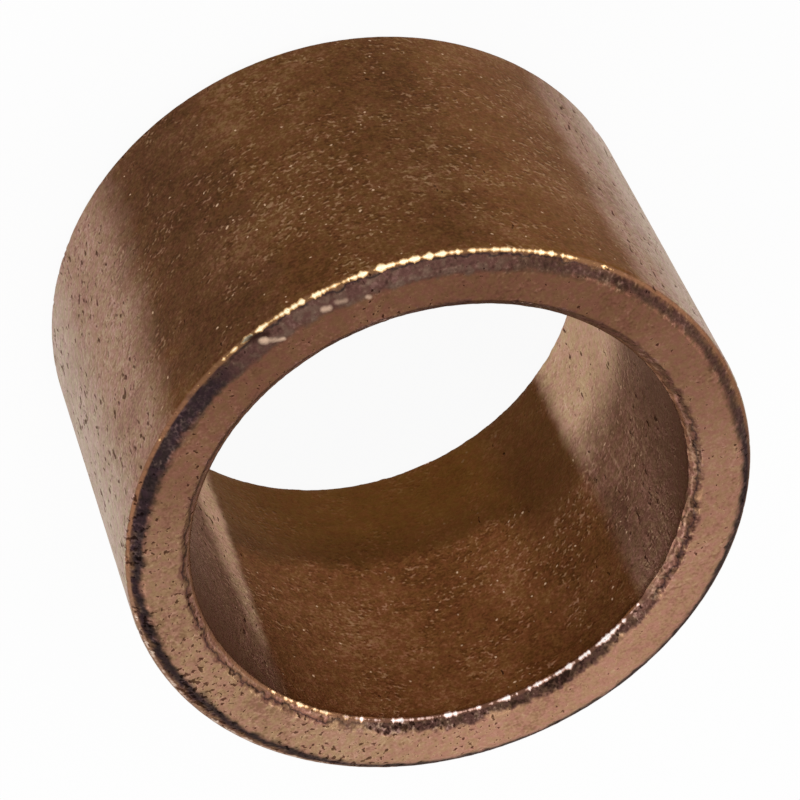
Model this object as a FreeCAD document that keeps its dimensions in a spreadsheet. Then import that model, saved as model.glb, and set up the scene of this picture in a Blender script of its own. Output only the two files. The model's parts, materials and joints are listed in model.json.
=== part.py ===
import FreeCAD, Part
import os

import Sketcher

# A starter bushing: a short plain sleeve pressed from bronze powder in one piece.
# Millimetres and degrees. Z is the bore's axis, and the sleeve stands on its lower end face, at Z = 0.
# A chamfer's width is measured on the end face and its drop along the wall.
# The nick is a handling mark in the upper rim: it starts at the outer corner and runs
# inwards over the chamfer, skewed from the rim's own direction.
SIZES = {
    "bore_diameter": 12.7,
    "wall_thickness": 1.65,
    "bush_length": 10.5,
    "outer_chamfer_width": 0.45,
    "outer_chamfer_drop": 0.27,
    "bore_chamfer_width": 0.30,
    "bore_chamfer_drop": 0.28,
    "side_corner_radius": 0.15,
    "face_corner_radius": 0.12,
    "bore_corner_radius": 0.10,
    "nick_length": 0.90,
    "nick_width": 0.30,
    "nick_depth": 0.11,
    "nick_angle": -73.3,
    "nick_skew": 34.0,
}
SHEET = "sizes"
NODE = "bushing"
MATCH = 1e-4

SIDE = "(sizes.bore_diameter / 2 + sizes.wall_thickness)"

doc = FreeCAD.newDocument("starter_bushing")


def write_sheet(sizes):
    """Puts each driving size in a cell of its own, under its own name."""
    sheet = doc.addObject("Spreadsheet::Sheet", SHEET)
    for row, (name, value) in enumerate(sizes.items(), start=1):
        sheet.set("A%d" % row, name)
        sheet.set("B%d" % row, str(value))
        sheet.setAlias("B%d" % row, name)
    doc.recompute()
    return sheet


def origin_plane(body, role):
    """The body's own origin plane with this role."""
    for feature in body.Origin.OriginFeatures:
        if feature.Role == role:
            return feature
    raise ValueError("no origin plane " + role)


def section_corners():
    """Corners of the wall's half-section as (radius, height), from the lower face's inner end."""
    bore = SIZES["bore_diameter"] / 2
    side = bore + SIZES["wall_thickness"]
    top = SIZES["bush_length"]
    return [
        (bore + SIZES["bore_chamfer_width"], 0),
        (side - SIZES["outer_chamfer_width"], 0),
        (side, SIZES["outer_chamfer_drop"]),
        (side, top - SIZES["outer_chamfer_drop"]),
        (side - SIZES["outer_chamfer_width"], top),
        (bore + SIZES["bore_chamfer_width"], top),
        (bore, top - SIZES["bore_chamfer_drop"]),
        (bore, SIZES["bore_chamfer_drop"]),
    ]


def draw_wall_section(body):
    """The sleeve's half-section: a tall thin wall with its four corners broken."""
    sketch = body.newObject("Sketcher::SketchObject", "wall_section")
    sketch.AttachmentSupport = [(origin_plane(body, "XZ_Plane"), "")]
    sketch.MapMode = "FlatFace"
    points = [FreeCAD.Vector(radius, height, 0) for radius, height in section_corners()]
    count = len(points)
    lines = [Part.LineSegment(points[i], points[(i + 1) % count]) for i in range(count)]
    sketch.addGeometry(lines, False)
    start, end = 1, 2
    for i in range(count):
        sketch.addConstraint(Sketcher.Constraint("Coincident", i, end, (i + 1) % count, start))
    lower, outer_low, side, outer_high, upper, inner_high, bore, inner_low = range(count)
    origin, radial_axis = (-1, 1), -1
    sketch.addConstraint(Sketcher.Constraint("PointOnObject", lower, start, radial_axis))
    for line in (lower, upper):
        sketch.addConstraint(Sketcher.Constraint("Horizontal", line))
    for line in (side, bore):
        sketch.addConstraint(Sketcher.Constraint("Vertical", line))
    bore_diameter, wall = SIZES["bore_diameter"], SIZES["wall_thickness"]
    measures = [
        ("bore_radius", "DistanceX", (*origin, bore, start), bore_diameter / 2, "sizes.bore_diameter / 2"),
        ("side_radius", "DistanceX", (*origin, side, start), bore_diameter / 2 + wall, SIDE),
        ("height", "DistanceY", (lower, end, upper, start), SIZES["bush_length"], "sizes.bush_length"),
    ]
    chamfers = [
        ("outer_low", (outer_low, start), (outer_low, end), (outer_low, start), (outer_low, end), "outer"),
        ("outer_high", (outer_high, end), (outer_high, start), (outer_high, start), (outer_high, end), "outer"),
        ("inner_high", (inner_high, end), (inner_high, start), (inner_high, end), (inner_high, start), "bore"),
        ("inner_low", (inner_low, start), (inner_low, end), (inner_low, end), (inner_low, start), "bore"),
    ]
    for name, x_from, x_to, y_from, y_to, rim in chamfers:
        width, drop = rim + "_chamfer_width", rim + "_chamfer_drop"
        measures.append((name + "_width", "DistanceX", (*x_from, *x_to), SIZES[width], "sizes." + width))
        measures.append((name + "_drop", "DistanceY", (*y_from, *y_to), SIZES[drop], "sizes." + drop))
    for name, kind, ends, value, formula in measures:
        index = sketch.addConstraint(Sketcher.Constraint(kind, *ends, value))
        sketch.renameConstraint(index, name)
        sketch.setExpression("Constraints." + name, formula)
    doc.recompute()
    return sketch


def spin(body, sketch):
    """Turns the half-section about the bore's axis."""
    ring = body.newObject("PartDesign::Revolution", "pressed_ring")
    ring.Profile = sketch
    ring.ReferenceAxis = (sketch, ["V_Axis"])
    ring.Angle = 360
    doc.recompute()
    return ring


def rim_edges(feature, radius, heights):
    """Names of the feature's full circles of this radius at these heights."""
    names = []
    for number, edge in enumerate(feature.Shape.Edges, start=1):
        if not isinstance(edge.Curve, Part.Circle):
            continue
        same_radius = abs(edge.Curve.Radius - radius) < MATCH
        if same_radius and any(abs(edge.Curve.Center.z - z) < MATCH for z in heights):
            names.append("Edge%d" % number)
    return names


def round_rims(body, base, name, corners, radius_name):
    """Rounds these corners of the half-section, at both ends, with one bound radius."""
    top = SIZES["bush_length"]
    edges = []
    for radius, height in corners:
        edges += rim_edges(base, radius, (height, top - height))
    if len(edges) != 2 * len(corners):
        raise ValueError(name + " found %d rims" % len(edges))
    rounding = body.newObject("PartDesign::Fillet", name)
    rounding.Base = (base, edges)
    rounding.setExpression("Radius", "sizes." + radius_name)
    doc.recompute()
    return rounding


def press_nick(body):
    """A long ball, as high to its middle as the nick is wide, pressed into the upper outer chamfer."""
    nick = body.newObject("PartDesign::SubtractiveEllipsoid", "rim_nick")
    slope = "hypot(sizes.outer_chamfer_width; sizes.outer_chamfer_drop)"
    ball = "sizes.nick_width"
    lift = "(%s - sizes.nick_depth)" % ball
    stretch = "sqrt(1 - pow(%s / %s; 2))" % (lift, ball)
    out = "(%s - sizes.outer_chamfer_width / 2 + %s * sizes.outer_chamfer_drop / %s)" % (SIDE, lift, slope)
    up = "(sizes.bush_length - sizes.outer_chamfer_drop / 2 + %s * sizes.outer_chamfer_width / %s)" % (lift, slope)
    place = "vector(%s * cos(sizes.nick_angle); %s * sin(sizes.nick_angle); %s)" % (out, out, up)
    turn = "rotation(vector(0; 0; 1); sizes.nick_angle)"
    tilt = "rotation(vector(0; 1; 0); atan(sizes.outer_chamfer_drop / sizes.outer_chamfer_width))"
    skew = "rotation(vector(0; 0; 1); 90 - sizes.nick_skew)"
    nick.setExpression("Radius1", ball)
    nick.setExpression("Radius2", "sizes.nick_length / 2 / %s" % stretch)
    nick.setExpression("Radius3", "sizes.nick_width / 2 / %s" % stretch)
    nick.setExpression("Placement", "placement(%s; %s * %s * %s)" % (place, turn, tilt, skew))
    doc.recompute()
    return nick


def check(features, body):
    """Stops if an object failed, a shape is missing or broken, or a feature takes nothing off."""
    for item in doc.Objects:
        if "Invalid" in item.State or "Error" in item.State:
            raise RuntimeError(item.Name + " failed: %s" % item.State)
    shape = body.Shape
    if shape.isNull() or not shape.isValid() or len(shape.Solids) != 1:
        raise RuntimeError("the bushing is not one valid solid")
    volumes = [feature.Shape.Volume for feature in features]
    for feature, before, after in zip(features[1:], volumes, volumes[1:]):
        if not after < before:
            raise RuntimeError(feature.Name + " takes nothing off")
        print("%s takes off %.4f mm3" % (feature.Name, before - after))
    box = shape.optimalBoundingBox()
    print("volume %.3f mm3, box %.3f x %.3f x %.3f mm" % (shape.Volume, box.XLength, box.YLength, box.ZLength))


write_sheet(SIZES)
bushing = doc.addObject("PartDesign::Body", NODE)
bushing.Label = NODE
section = draw_wall_section(bushing)
ring = spin(bushing, section)

face_inner, face_outer, side_low = section_corners()[:3]
bore_low = section_corners()[-1]
side_round = round_rims(bushing, ring, "side_corners", [side_low], "side_corner_radius")
face_round = round_rims(bushing, side_round, "face_corners", [face_inner, face_outer], "face_corner_radius")
bore_round = round_rims(bushing, face_round, "bore_corners", [bore_low], "bore_corner_radius")
nick = press_nick(bushing)
bushing.Tip = nick
bushing.Placement = FreeCAD.Placement()
doc.recompute()

check([ring, side_round, face_round, bore_round, nick], bushing)
os.makedirs("parts", exist_ok=True)
bushing.Shape.exportStep("parts/" + NODE + ".step")
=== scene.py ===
"""A worn starter bushing of pressed bronze, standing on one end on a plain white floor."""

import json
import logging
import math
from dataclasses import dataclass
from enum import Enum
from functools import reduce
from typing import Optional, Union

import bpy
from mathutils import Matrix, Vector


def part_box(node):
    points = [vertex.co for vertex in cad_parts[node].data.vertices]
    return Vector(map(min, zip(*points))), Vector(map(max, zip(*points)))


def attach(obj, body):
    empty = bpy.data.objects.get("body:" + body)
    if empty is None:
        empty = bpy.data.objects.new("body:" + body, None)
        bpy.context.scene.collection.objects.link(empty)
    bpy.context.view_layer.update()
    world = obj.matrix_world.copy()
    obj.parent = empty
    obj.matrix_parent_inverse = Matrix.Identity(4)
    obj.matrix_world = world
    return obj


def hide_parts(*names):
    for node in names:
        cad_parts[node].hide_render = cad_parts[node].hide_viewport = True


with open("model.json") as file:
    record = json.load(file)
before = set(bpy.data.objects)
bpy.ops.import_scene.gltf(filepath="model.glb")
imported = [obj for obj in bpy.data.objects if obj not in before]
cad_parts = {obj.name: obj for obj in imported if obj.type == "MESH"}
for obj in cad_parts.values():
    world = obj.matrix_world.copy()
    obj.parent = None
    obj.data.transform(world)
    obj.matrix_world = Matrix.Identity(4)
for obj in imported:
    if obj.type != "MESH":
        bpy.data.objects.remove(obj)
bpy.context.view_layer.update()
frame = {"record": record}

log = logging.getLogger("starter_bushing")

# Sizes are in millimetres, which MM turns into metres, and angles are in degrees
MM = 0.001
QUARTER_TURN = 90.0

# The middle of a noise, and half a step of a mesh's index
HALF = 0.5

# The names that the part's record and node give
NODE = "bushing"
BODY = "root"

# The attribute that keeps each point's place before the wear
REST_PLACE = "rest_place"

Triple = tuple[float, float, float]
Span = tuple[float, float]
Steps = tuple[float, ...]
Socket = bpy.types.NodeSocket
Look = tuple[Socket, Socket]
Value = Union[Socket, float, int, tuple, str, None]


# Node trees
class Graph:
    """Writes nodes and links into one shader or geometry tree."""

    COLOUR_SOCKETS = (0, 6, 7)
    COLOUR_RESULT = 2
    NUMBER_SOCKETS = (0, 2, 3)

    def __init__(self, tree: bpy.types.NodeTree) -> None:
        """Keeps the tree that the nodes go into.

        Args:
            tree: The shader or geometry tree.
        """
        self.tree = tree

    def node(self, kind: str, inputs: Optional[dict] = None, **settings: object) -> bpy.types.Node:
        """Adds a node.

        Args:
            kind: The node's type name.
            inputs: Socket name or number to a plain value or a socket to link from.
            settings: The node's own settings.

        Returns:
            The new node.
        """
        made = self.tree.nodes.new(kind)
        for name, value in settings.items():
            setattr(made, name, value)
        for key, value in (inputs or {}).items():
            self.feed(made.inputs[key], value)
        return made

    def feed(self, socket: Socket, value: Value) -> None:
        """Links a socket to another, or sets its plain value.

        Args:
            socket: The input.
            value: What goes in.
        """
        if isinstance(value, bpy.types.NodeSocket):
            self.tree.links.new(value, socket)
        elif value is not None:
            socket.default_value = value

    def math(self, operation: str, *numbers: Value, clamp: bool = False) -> Socket:
        """One step of arithmetic on up to three numbers.

        Args:
            operation: The Math node's operation.
            numbers: The numbers that it takes.
            clamp: Whether the result is kept from 0 to 1.

        Returns:
            The result.
        """
        inputs = dict(enumerate(numbers))
        return self.node("ShaderNodeMath", inputs, operation=operation, use_clamp=clamp).outputs[0]

    def times(self, *numbers: Value) -> Socket:
        """The product of two or more numbers."""
        return reduce(lambda a, b: self.math("MULTIPLY", a, b), numbers)

    def plus(self, *numbers: Value) -> Socket:
        """The sum of two or more numbers."""
        return reduce(lambda a, b: self.math("ADD", a, b), numbers)

    def most(self, *numbers: Value) -> Socket:
        """The largest of two or more numbers."""
        return reduce(lambda a, b: self.math("MAXIMUM", a, b), numbers)

    def less(self, a: Value, b: Value) -> Socket:
        """The first number less the second."""
        return self.math("SUBTRACT", a, b)

    def without(self, mask: Value) -> Socket:
        """A mask the other way round."""
        return self.less(1.0, mask)

    def swing(self, noise: Socket, reach: Value) -> Socket:
        """A noise brought down to swing about zero, and then scaled."""
        return self.times(self.less(noise, HALF), reach)

    def vector(self, operation: str, a: Value, b: Value = None, scale: Value = None) -> bpy.types.Node:
        """A Vector Math node.

        Args:
            operation: Its operation.
            a: The first vector.
            b: The second vector, where the operation has one.
            scale: The factor, for SCALE.

        Returns:
            The node, which has a vector and a number output.
        """
        inputs = {0: a}
        if b is not None:
            inputs[1] = b
        if scale is not None:
            inputs["Scale"] = scale
        return self.node("ShaderNodeVectorMath", inputs, operation=operation)

    def scaled(self, vector: Value, factor: Value) -> Socket:
        """A vector times a number."""
        return self.vector("SCALE", vector, scale=factor).outputs[0]

    def product(self, a: Value, b: Value) -> Socket:
        """Two vectors or colours, multiplied number by number."""
        return self.vector("MULTIPLY", a, b).outputs[0]

    def shifted(self, a: Value, b: Value) -> Socket:
        """The sum of two vectors."""
        return self.vector("ADD", a, b).outputs[0]

    def dot(self, a: Value, b: Value) -> Socket:
        """How far one vector goes along another."""
        return self.vector("DOT_PRODUCT", a, b).outputs["Value"]

    def length(self, vector: Value) -> Socket:
        """A vector's length."""
        return self.vector("LENGTH", vector).outputs["Value"]

    def ease(self, value: Value, low: Value, high: Value, start: Value = 0.0, end: Value = 1.0) -> Socket:
        """A soft step from one number to another.

        Args:
            value: The number that is compared.
            low: Where the step begins.
            high: Where it is complete.
            start: The result before the step.
            end: The result after it.

        Returns:
            The result.
        """
        inputs = {"Value": value, "From Min": low, "From Max": high, "To Min": start, "To Max": end}
        made = self.node("ShaderNodeMapRange", inputs, interpolation_type="SMOOTHSTEP", clamp=True)
        return made.outputs["Result"]

    def noise(self, place: Value, scale: float, detail: float = 2.0, roughness: float = 0.5) -> Socket:
        """Cloudy noise.

        Args:
            place: Where it is read.
            scale: How many features there are to a unit.
            detail: How many finer layers it has.
            roughness: How strong they are.

        Returns:
            A number around one half.
        """
        inputs = {"Vector": place, "Scale": scale, "Detail": detail, "Roughness": roughness}
        return self.node("ShaderNodeTexNoise", inputs, noise_dimensions="3D").outputs[0]

    def cells(self, place: Value, scale: float) -> bpy.types.Node:
        """Scattered points, one to a cell.

        Args:
            place: Where it is read.
            scale: How many cells there are to a unit.

        Returns:
            The node, which gives the distance to the nearest point and that point's random colour.
        """
        inputs = {"Vector": place, "Scale": scale}
        return self.node("ShaderNodeTexVoronoi", inputs, voronoi_dimensions="3D", feature="F1")

    def mix(self, factor: Value, a: Value, b: Value) -> Socket:
        """A blend of two colours.

        Args:
            factor: How much of the second there is.
            a: The first colour.
            b: The second colour.

        Returns:
            The blend.
        """
        made = self.node("ShaderNodeMix", data_type="RGBA", blend_type="MIX", clamp_factor=True)
        for key, value in zip(self.COLOUR_SOCKETS, (factor, a, b)):
            self.feed(made.inputs[key], opaque(value))
        return made.outputs[self.COLOUR_RESULT]

    def blend(self, factor: Value, a: Value, b: Value) -> Socket:
        """A blend of two numbers.

        Args:
            factor: How much of the second there is.
            a: The first number.
            b: The second number.

        Returns:
            The blend.
        """
        made = self.node("ShaderNodeMix", data_type="FLOAT", clamp_factor=True)
        for key, value in zip(self.NUMBER_SOCKETS, (factor, a, b)):
            self.feed(made.inputs[key], value)
        return made.outputs[0]

    def cover(self, mask: Value, look: Look, colour: Value, rough: Value) -> Look:
        """Lays a colour and a roughness over a look where the mask is."""
        return self.mix(mask, look[0], colour), self.blend(mask, look[1], rough)


def opaque(value: Value) -> Value:
    """Gives a plain colour its fourth number, and leaves anything else alone."""
    return (*value, 1.0) if isinstance(value, tuple) and len(value) == 3 else value


# The sleeve's shape
@dataclass(frozen=True)
class Corner:
    """One corner of the sleeve's half-section, in millimetres."""

    radius: float
    height: float
    rounding: float

    @property
    def place(self) -> Vector:
        """The corner as a point of the half-section."""
        return Vector((self.radius, self.height))


@dataclass
class Section:
    """The sleeve's half-section, in millimetres, with chamfered and softly rounded corners."""

    bore: float
    side: float
    top: float
    outer_chamfer_width: float = 0.45
    outer_chamfer_drop: float = 0.27
    bore_chamfer_width: float = 0.30
    bore_chamfer_drop: float = 0.28
    side_rounding: float = 0.15
    face_rounding: float = 0.12
    bore_rounding: float = 0.10
    arc_steps: int = 4
    wall_step: float = 0.20
    rim_step: float = 0.085

    def corners(self) -> list[Corner]:
        """The eight corners, in order round the wall.

        Returns:
            The corners, from the lower face's inner end on.
        """
        face_in = self.bore + self.bore_chamfer_width
        face_out = self.side - self.outer_chamfer_width
        return [
            Corner(face_in, 0.0, self.face_rounding),
            Corner(face_out, 0.0, self.face_rounding),
            Corner(self.side, self.outer_chamfer_drop, self.side_rounding),
            Corner(self.side, self.top - self.outer_chamfer_drop, self.side_rounding),
            Corner(face_out, self.top, self.face_rounding),
            Corner(face_in, self.top, self.face_rounding),
            Corner(self.bore, self.top - self.bore_chamfer_drop, self.bore_rounding),
            Corner(self.bore, self.bore_chamfer_drop, self.bore_rounding),
        ]

    def arc(self, before: Corner, corner: Corner, after: Corner) -> list[Vector]:
        """Points along one corner's rounding.

        Args:
            before: The corner before it.
            corner: The corner that is rounded.
            after: The corner after it.

        Returns:
            The points, from the first tangent point to the second.
        """
        back = (before.place - corner.place).normalized()
        ahead = (after.place - corner.place).normalized()
        half = math.acos(max(-1.0, min(1.0, back.dot(ahead)))) / 2
        centre = corner.place + (back + ahead).normalized() * corner.rounding / math.sin(half)
        first = corner.place + back * corner.rounding / math.tan(half) - centre
        last = corner.place + ahead * corner.rounding / math.tan(half) - centre
        turn = first.angle_signed(last)
        points = []
        for step in range(self.arc_steps + 1):
            angle = -turn * step / self.arc_steps
            cos, sin = math.cos(angle), math.sin(angle)
            points.append(centre + Vector((first.x * cos - first.y * sin, first.x * sin + first.y * cos)))
        return points

    def points(self) -> list[Vector]:
        """The closed outline, with a row of the mesh at each point.

        Returns:
            The points, in millimetres.
        """
        corners = self.corners()
        count = len(corners)
        arcs = [self.arc(corners[i - 1], corners[i], corners[(i + 1) % count]) for i in range(count)]
        outline = []
        for i, arc in enumerate(arcs):
            outline += arc
            start, end = arc[-1], arcs[(i + 1) % count][0]
            length = (end - start).length
            step = self.wall_step if length > self.top / 2 else self.rim_step
            pieces = max(1, round(length / step))
            outline += [start.lerp(end, k / pieces) for k in range(1, pieces)]
        return outline

    def wire(self) -> bpy.types.Object:
        """The outline as a wire in the XZ plane, in metres.

        Returns:
            The wire.
        """
        mesh = bpy.data.meshes.new("section")
        points = [(p.x * MM, 0.0, p.y * MM) for p in self.points()]
        edges = [(i, (i + 1) % len(points)) for i in range(len(points))]
        mesh.from_pydata(points, edges, [])
        return place_object("section", mesh)


@dataclass(frozen=True)
class Nick:
    """A handling mark in the upper rim: the bottom of a long ball pressed into the outer chamfer."""

    length: float = 0.90
    width: float = 0.30
    depth: float = 0.11
    angle: float = -73.3
    skew: float = 34.0

    def frame(self, section: Section) -> tuple[Vector, Vector, Vector, Vector]:
        """Where the ball is.

        Args:
            section: The sleeve's half-section.

        Returns:
            The middle of the dented chamfer, and the directions along, across and out of the nick.
        """
        slope = math.hypot(section.outer_chamfer_width, section.outer_chamfer_drop)
        turn = Matrix.Rotation(math.radians(self.angle), 3, "Z")
        out = turn @ Vector((section.outer_chamfer_drop, 0, section.outer_chamfer_width)) / slope
        inwards = turn @ Vector((section.outer_chamfer_width, 0, -section.outer_chamfer_drop)) / slope
        round_rim = turn @ Vector((0, 1, 0))
        lean = math.radians(QUARTER_TURN - self.skew)
        along = inwards * math.cos(lean) + round_rim * math.sin(lean)
        across = out.cross(along)
        middle = turn @ Vector((section.side - section.outer_chamfer_width / 2, 0, 0))
        middle.z = section.top - section.outer_chamfer_drop / 2
        return middle, along, across, out


@dataclass(frozen=True)
class Pores:
    """The open pores and lumps of pressed metal, which the mesh and the finish share.

    A noise is given by its scale, detail and roughness, and a slice of the ring by its middle,
    how far from it it is full and how far from it it ends, in degrees.
    """

    pit_noise: Triple = (7.5, 1.4, 0.55)
    pit_stretch: Triple = (1.0, 1.0, 0.42)
    pit_span: Span = (0.61, 0.74)
    # Where the painted highlight round each pit lies
    pit_rim_highlight_span: Span = (0.55, 0.62)
    cluster_noise: Triple = (0.9, 2.0, 0.5)
    cluster_gain: float = 0.40
    grain_noise: Triple = (4.5, 3.0, 0.6)
    # The larger lumps, and the step towards the light, that carry painted light and shade
    lump_noise: Triple = (6.0, 1.0, 0.6)
    lump_span: Span = (0.50, 0.74)
    lit_step: Triple = (0.0, -0.037, 0.047)
    side_bias: float = -0.125
    band_bias: float = 0.02
    bore_bias: float = -0.13
    dull_gain: float = 0.08
    dull_slice: Triple = (155.0, 20.0, 32.0)
    streak_gain: float = 0.10
    streak_slice: Triple = (25.0, 5.0, 12.0)
    face_bias: float = -0.050
    face_gain: float = 0.115
    face_slice: Triple = (26.0, 22.0, 76.0)

    def bias(self, zones: "Zones") -> Socket:
        """How much easier pores open in each zone.

        Args:
            zones: The skin's zones.

        Returns:
            A number added to the noise.
        """
        graph = zones.graph
        side = graph.blend(zones.pale_reflection_bands(), self.side_bias, self.band_bias)
        dull = graph.times(zones.sector(*self.dull_slice), self.dull_gain)
        streak = graph.times(zones.sector(*self.streak_slice), self.streak_gain)
        wall = graph.blend(zones.outer, graph.plus(dull, streak, self.bore_bias), side)
        crowd = zones.sector(*self.face_slice)
        face = graph.plus(graph.times(crowd, self.face_gain), self.face_bias)
        return graph.blend(zones.end, wall, face)

    def field(self, zones: "Zones") -> Socket:
        """How near each place is to being a pit.

        Args:
            zones: The skin's zones.

        Returns:
            A number that is past the pits' span where a pit is deepest.
        """
        graph = zones.graph
        fine = graph.noise(graph.product(zones.place, self.pit_stretch), *self.pit_noise)
        cluster = graph.noise(zones.place, *self.cluster_noise)
        return graph.plus(fine, graph.swing(cluster, self.cluster_gain), self.bias(zones))

    def grain(self, graph: Graph, place: Socket) -> Socket:
        """The lumps of the pressed powder, as a number around one half."""
        return graph.noise(place, *self.grain_noise)

    def painted_relief(self, graph: Graph, place: Socket) -> Socket:
        """Painted light and shade on the larger lumps: a painted highlight on the sides that face the upper
        front, and painted shade on the sides behind them.

        Args:
            graph: The tree.
            place: The undented place, in millimetres.

        Returns:
            Above zero on those sides, below it on the sides behind them, and zero in between.
        """
        tops = []
        for spot in (place, graph.shifted(place, self.lit_step)):
            tops.append(graph.ease(graph.noise(spot, *self.lump_noise), *self.lump_span))
        return graph.less(*tops)


@dataclass
class Sleeve:
    """The bushing's one piece: the spun section with pores, worn rims and the nick."""

    section: Section
    nick: Nick
    pores: Pores
    columns: int = 592
    pit_depth: float = 0.035
    grain_height: float = 0.016
    rim_height: float = 0.030
    chip_depth: float = 0.050
    join: float = 0.0002
    end_share: float = 0.35
    grain_top: float = 0.62
    bead_noise: Triple = (5.0, 1.5, 0.5)
    bead_top: float = 0.66
    chip_noise: Triple = (3.4, 2.5, 0.65)
    chip_span: Span = (0.44, 0.66)
    drift_noise: Triple = (1.1, 1.0, 0.5)
    drift_gain: float = 0.8
    worst_tear: Triple = (158.0, 28.0, 60.0)
    lower_tear: Triple = (100.0, 40.0, 70.0)
    lower_share: float = 0.6
    least_tear: float = 0.08

    def depths(self) -> dict[str, float]:
        """The sizes that the wear tree takes, by name."""
        names = ("pit_depth", "grain_height", "rim_height", "chip_depth")
        return {name: getattr(self, name) for name in names}

    def spin_tree(self) -> bpy.types.NodeTree:
        """Geometry nodes that spin a wire section about Z into a closed skin.

        Returns:
            The tree.
        """
        tree = bpy.data.node_groups.new("spin_section", "GeometryNodeTree")
        sockets = {"columns": ("NodeSocketInt", self.columns), "finish": ("NodeSocketMaterial", None)}
        add_sockets(tree, sockets)
        graph = Graph(tree)
        given = graph.node("NodeGroupInput").outputs
        rows = graph.node("GeometryNodeAttributeDomainSize", {0: given[0]}).outputs["Point Count"]
        down = graph.math("ADD", rows, 1.0)
        across = graph.math("ADD", given["columns"], 1.0)
        grid = graph.node("GeometryNodeMeshGrid", {"Vertices X": across, "Vertices Y": down})
        index = graph.node("GeometryNodeInputIndex").outputs[0]
        row = graph.math("MODULO", graph.math("MODULO", index, down), rows)
        column = graph.math("FLOOR", graph.math("DIVIDE", graph.math("ADD", index, HALF), down))
        position = graph.node("GeometryNodeInputPosition").outputs[0]
        sample = graph.node("GeometryNodeSampleIndex", {"Geometry": given[0]}, data_type="FLOAT_VECTOR")
        graph.feed(sample.inputs["Value"], position)
        graph.feed(sample.inputs["Index"], row)
        turn = graph.math("DIVIDE", graph.math("MULTIPLY", column, math.tau), given["columns"])
        inputs = {"Vector": sample.outputs[0], "Angle": turn}
        spun = graph.node("ShaderNodeVectorRotate", inputs, rotation_type="Z_AXIS").outputs[0]
        placed = graph.node("GeometryNodeSetPosition", {"Geometry": grid.outputs["Mesh"], "Position": spun})
        closed = graph.node("GeometryNodeMergeByDistance", {0: placed.outputs[0], "Distance": self.join * MM})
        finish_tree(graph, closed.outputs[0], given["finish"])
        return tree

    def wear_tree(self) -> bpy.types.NodeTree:
        """Geometry nodes that press the pores, the uneven rims and the nick into the skin.

        Returns:
            The tree.
        """
        tree = bpy.data.node_groups.new("wear_surface", "GeometryNodeTree")
        sockets = {name: ("NodeSocketFloat", size) for name, size in self.depths().items()}
        add_sockets(tree, {**sockets, "finish": ("NodeSocketMaterial", None)})
        graph = Graph(tree)
        given = graph.node("NodeGroupInput").outputs
        position = graph.node("GeometryNodeInputPosition").outputs[0]
        normal = graph.node("GeometryNodeInputNormal").outputs[0]
        keep = {"Geometry": given[0], "Name": REST_PLACE}
        kept = graph.node("GeometryNodeStoreNamedAttribute", keep, data_type="FLOAT_VECTOR", domain="POINT")
        graph.feed(kept.inputs["Value"], position)
        place = graph.scaled(position, 1 / MM)
        zones = Zones(graph, place, self.section)
        pit = graph.times(graph.ease(self.pores.field(zones), *self.pores.pit_span), given["pit_depth"])
        wall_share = graph.blend(zones.end, 1.0, self.end_share)
        lump = graph.less(self.pores.grain(graph, place), self.grain_top)
        lump = graph.times(lump, given["grain_height"], wall_share)
        bead = graph.less(graph.noise(place, *self.bead_noise), self.bead_top)
        bead = graph.times(bead, given["rim_height"], zones.corners)
        drift = graph.swing(graph.noise(place, *self.drift_noise), self.drift_gain)
        chip = graph.plus(graph.noise(place, *self.chip_noise), drift)
        chip = graph.times(graph.ease(chip, *self.chip_span), given["chip_depth"], self.torn(zones))
        height = graph.less(graph.plus(lump, bead), graph.plus(pit, chip))
        height = graph.math("MINIMUM", height, 0.0)
        worn = graph.scaled(normal, graph.times(height, MM))
        moved = graph.node("GeometryNodeSetPosition", {"Geometry": kept.outputs[0], "Offset": worn})
        nicked = self.press_nick(graph, moved.outputs[0])
        finish_tree(graph, nicked, given["finish"])
        return tree

    def torn(self, zones: "Zones") -> Socket:
        """How far the bore's edge is torn: all round a little, and most of all on one side.

        Args:
            zones: The skin's zones.

        Returns:
            The mask.
        """
        graph = zones.graph
        edge = graph.most(zones.bore_corner, zones.bore_chamfer)
        lower = graph.times(zones.sector(*self.lower_tear), self.lower_share)
        level = graph.most(zones.sector(*self.worst_tear), lower)
        return graph.times(edge, graph.blend(level, self.least_tear, 1.0))

    def press_nick(self, graph: Graph, skin: Socket) -> Socket:
        """Pushes the skin down to the ball's lowest part.

        Args:
            graph: The tree.
            skin: The skin's geometry.

        Returns:
            The nicked skin.
        """
        middle, along, across, out = self.nick.frame(self.section)
        ball = self.nick.width
        lift = ball - self.nick.depth
        stretch = math.sqrt(1 - (lift / ball) ** 2)
        position = graph.node("GeometryNodeInputPosition").outputs[0]
        local = graph.vector("SUBTRACT", graph.scaled(position, 1 / MM), tuple(middle)).outputs[0]
        left = 1.0
        for way, size in ((along, self.nick.length), (across, self.nick.width)):
            share = graph.math("DIVIDE", graph.dot(local, tuple(way)), size / 2 / stretch)
            left = graph.less(left, graph.times(share, share))
        bulge = graph.math("SQRT", graph.most(left, 0.0))
        floor = graph.less(lift, graph.times(bulge, ball))
        excess = graph.most(graph.less(graph.dot(local, tuple(out)), floor), 0.0)
        near = graph.math("LESS_THAN", graph.length(local), self.nick.length)
        offset = graph.scaled(tuple(out), graph.times(excess, near, -MM))
        return graph.node("GeometryNodeSetPosition", {"Geometry": skin, "Offset": offset}).outputs[0]

    def build(self, finish: bpy.types.Material) -> bpy.types.Object:
        """Makes the sleeve as one closed mesh in place of the plain solid.

        Args:
            finish: The bronze.

        Returns:
            The finished piece.
        """
        source = self.section.wire()
        run_tree(source, self.spin_tree(), {"columns": self.columns, "finish": finish})
        run_tree(source, self.wear_tree(), {**self.depths(), "finish": finish})
        piece = settle(source, "pressed_sleeve")
        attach(piece, BODY)
        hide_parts(NODE)
        return piece


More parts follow.
